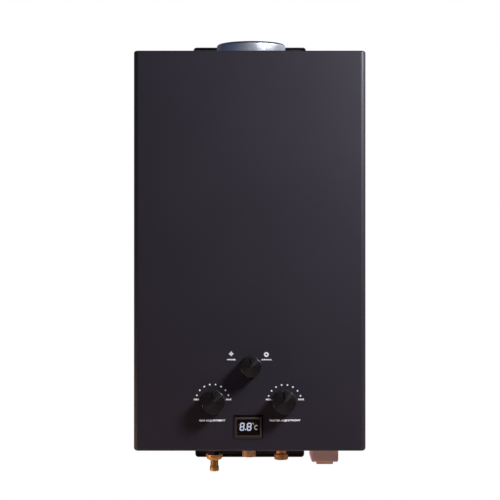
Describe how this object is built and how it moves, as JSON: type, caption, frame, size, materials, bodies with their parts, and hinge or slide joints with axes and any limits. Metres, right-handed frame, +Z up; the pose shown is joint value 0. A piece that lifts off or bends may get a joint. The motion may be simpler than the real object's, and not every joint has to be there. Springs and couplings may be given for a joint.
{
  "type": "wall-hung gas water heater",
  "caption": "Wall-hung instantaneous propane water heater with a flue collar, turning gas, water and season knobs, a temperature display, pipe fittings and a battery hatch below.",
  "frame": {"origin": "on the wall plane, midway between the two hanging holes of the top bracket", "axes": "+X to the right as one faces the heater, +Y towards the wall, +Z up"},
  "size_m": [0.3464, 0.1808, 0.655],
  "materials": {
    "cover_paint": "satin",
    "galvanised_sheet": "satin",
    "bracket_paint": "satin",
    "zinc_hardware": "satin",
    "collar_aluminium": "brushed",
    "copper": "satin",
    "burner_steel": "satin",
    "cast_alloy": "matte",
    "brass": "satin",
    "outlet_brass": "satin",
    "spring_steel": "satin",
    "valve_rubber": "matte",
    "knob_plastic": "satin",
    "bezel_plastic": "satin",
    "window_plastic": "gloss",
    "circuit_board": "matte",
    "ceramic": "gloss",
    "switch_plastic": "matte",
    "lead_insulation": "satin",
    "battery_box_plastic": "matte",
    "tab_plastic": "matte",
    "cell_wrap": "gloss"
  },
  "bodies": {
    "heater": {"front_cover": "cover_paint", "back_panel": "galvanised_sheet", "bottom_plate": "galvanised_sheet", "top_bracket": "bracket_paint", "bottom_bracket": "bracket_paint", "bracket_rivets": "zinc_hardware", "cover_screws": "zinc_hardware", "flue_collar": "collar_aluminium", "draught_hood": "galvanised_sheet", "hood_screws": "zinc_hardware", "exchanger_shell": "copper", "exchanger_fins": "copper", "fin_tube": "copper", "coil_pipe": "copper", "water_pipes": "copper", "support_channels": "galvanised_sheet", "burner_tray": "galvanised_sheet", "burner_bars": "burner_steel", "gas_manifold": "burner_steel", "gas_nozzles": "brass", "gas_pipes": "cast_alloy", "gas_valve_body": "cast_alloy", "gas_valve_cap": "brass", "gas_solenoid": "zinc_hardware", "gas_inlet_fitting": "brass", "gas_union_nut": "brass", "gas_hose_nipple": "brass", "lock_nuts": "zinc_hardware", "water_valve_body": "brass", "water_valve_cover": "brass", "water_diaphragm": "valve_rubber", "water_valve_screws": "zinc_hardware", "cold_inlet_fitting": "brass", "hot_outlet_fitting": "outlet_brass", "selector_valve": "brass", "valve_bridge": "galvanised_sheet", "microswitch": "switch_plastic", "igniter_box": "switch_plastic", "electrode_insulators": "ceramic", "electrode_rods": "spring_steel", "leads": "lead_insulation", "temperature_sensors": "zinc_hardware", "display_bezel": "bezel_plastic", "display_window": "window_plastic", "display_board": "circuit_board", "battery_box": "battery_box_plastic", "battery_cells": "cell_wrap", "battery_contacts": "zinc_hardware"},
    "gas_control": {"gas_knob": "knob_plastic", "gas_stem": "brass"},
    "water_control": {"water_knob": "knob_plastic", "water_spindle": "brass"},
    "season_control": {"selector_knob": "knob_plastic", "selector_stem": "brass"},
    "pressure_rod": {"push_rod": "spring_steel"},
    "shutoff_disc": {"gas_disc": "valve_rubber", "gas_disc_spring": "spring_steel"},
    "switch_lever": {"microswitch_lever": "spring_steel"},
    "battery_hatch": {"battery_door": "battery_box_plastic", "door_tab": "tab_plastic"}
  },
  "joints": [
    {"name": "gas_knob_turn", "type": "hinge", "parent": "heater", "child": "gas_control", "pos_m": [-0.053, -0.1615, -0.5288], "axis": [0, -1, 0], "range_deg": [-82, 58]},
    {"name": "water_knob_turn", "type": "hinge", "parent": "heater", "child": "water_control", "pos_m": [0.051, -0.1615, -0.5288], "axis": [0, -1, 0], "range_deg": [-75, 65]},
    {"name": "selector_knob_turn", "type": "hinge", "parent": "heater", "child": "season_control", "pos_m": [0.002, -0.1615, -0.477], "axis": [0, -1, 0], "range_deg": [-65, 45]},
    {"name": "push_rod_slide", "type": "slide", "parent": "heater", "child": "pressure_rod", "axis": [-1, 0, 0], "range_m": [0, 0.003], "stiffness_N_per_m": 600, "springref_m": -0.002},
    {"name": "gas_disc_slide", "type": "slide", "parent": "heater", "child": "shutoff_disc", "axis": [-1, 0, 0], "range_m": [0, 0.003]},
    {"name": "switch_lever_swing", "type": "hinge", "parent": "heater", "child": "switch_lever", "pos_m": [0.007, -0.095, -0.495], "axis": [0, 1, 0], "range_deg": [0, 16]},
    {"name": "battery_door_swing", "type": "hinge", "parent": "heater", "child": "battery_hatch", "pos_m": [0.11225, -0.043, -0.6231], "axis": [1, 0, 0], "range_deg": [0, 95]}
  ],
  "couplings": [
    {"joint": "gas_disc_slide", "follows": "push_rod_slide", "ratio": 1},
    {"joint": "switch_lever_swing", "follows": "push_rod_slide", "rad_per_m": 90}
  ]
}
